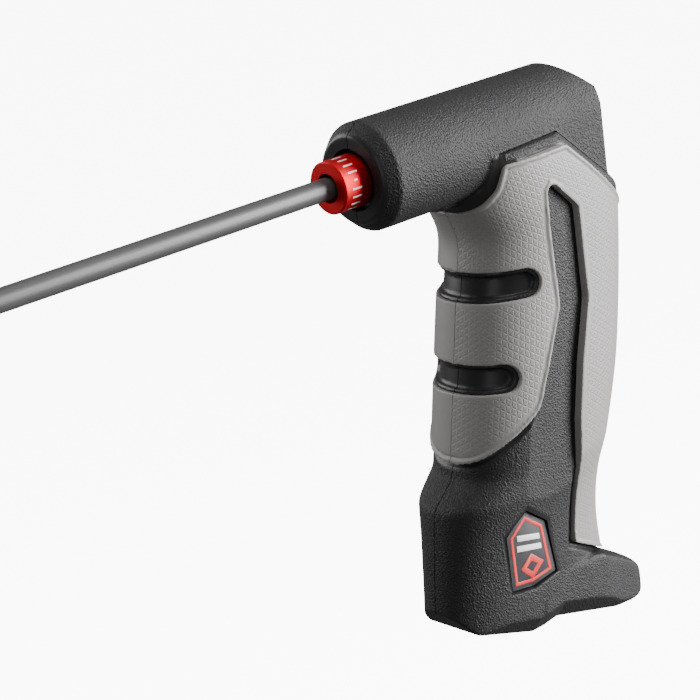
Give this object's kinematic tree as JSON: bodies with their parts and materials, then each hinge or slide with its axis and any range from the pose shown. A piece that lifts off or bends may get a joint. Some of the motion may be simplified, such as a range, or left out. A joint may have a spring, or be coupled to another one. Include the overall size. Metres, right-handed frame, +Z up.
{
  "type": "pistol-grip swivel rod tool",
  "caption": "Pistol-grip handle with a ball-bearing swivel that lets a coated cleaning rod turn freely; the rod tip is tapped for a needle, jag or brush.",
  "frame": {"origin": "centre of the collar's front face, where the bare rod leaves the swivel, on the rod's axis", "axes": "-X along the rod towards its tip, +Z up, so the grip hangs down; the parting plane of the two shells is XZ"},
  "size_m": [0.2897, 0.0358, 0.1442],
  "materials": {
    "shell_plastic": "fine leather-grain moulded black nylon",
    "grip_rubber": "matt warm grey thermoplastic rubber with a triangular micro-pattern",
    "badge_plastic": "dark grey plate with a red printed border",
    "screw_steel": "blackened steel",
    "sleeve_aluminium": "turned",
    "seal_rubber": "black nitrile",
    "bearing_steel": "ground",
    "cage_brass": "machined",
    "spring_steel": "oiled spring steel",
    "spindle_steel": "turned",
    "collar_red": "red anodised, fine turned lines",
    "rod_coating": "satin dark grey polymer coating",
    "tip_steel": "turned steel"
  },
  "bodies": {
    "housing": {"left_shell": "shell_plastic", "right_shell": "shell_plastic", "left_overmould": "grip_rubber", "right_overmould": "grip_rubber", "left_badge": "badge_plastic", "right_badge": "badge_plastic", "shell_screws": "screw_steel", "bearing_sleeve": "sleeve_aluminium", "dust_seal": "seal_rubber", "front_outer_race": "bearing_steel", "rear_outer_race": "bearing_steel", "outer_spacer": "sleeve_aluminium", "wave_washer": "spring_steel", "retaining_ring": "spring_steel"},
    "rotor": {"collar": "collar_red", "spindle": "spindle_steel", "spindle_nut": "screw_steel", "inner_spacer": "spindle_steel", "front_inner_race": "bearing_steel", "rear_inner_race": "bearing_steel", "rod": "rod_coating", "rod_stud": "spindle_steel", "rod_tip": "tip_steel"},
    "front_cage_set": {"front_cage": "cage_brass", "front_balls": "bearing_steel"},
    "rear_cage_set": {"rear_cage": "cage_brass", "rear_balls": "bearing_steel"}
  },
  "joints": [
    {"name": "rod_swivel", "type": "hinge", "parent": "housing", "child": "rotor", "pos_m": [0, 0, 0], "axis": [1, 0, 0], "continuous": true},
    {"name": "front_cage_roll", "type": "hinge", "parent": "housing", "child": "front_cage_set", "pos_m": [0, 0, 0], "axis": [1, 0, 0], "continuous": true},
    {"name": "rear_cage_roll", "type": "hinge", "parent": "housing", "child": "rear_cage_set", "pos_m": [0, 0, 0], "axis": [1, 0, 0], "continuous": true}
  ],
  "couplings": [
    {"joint": "front_cage_roll", "follows": "rod_swivel", "ratio": 0.4},
    {"joint": "rear_cage_roll", "follows": "rod_swivel", "ratio": 0.4}
  ]
}
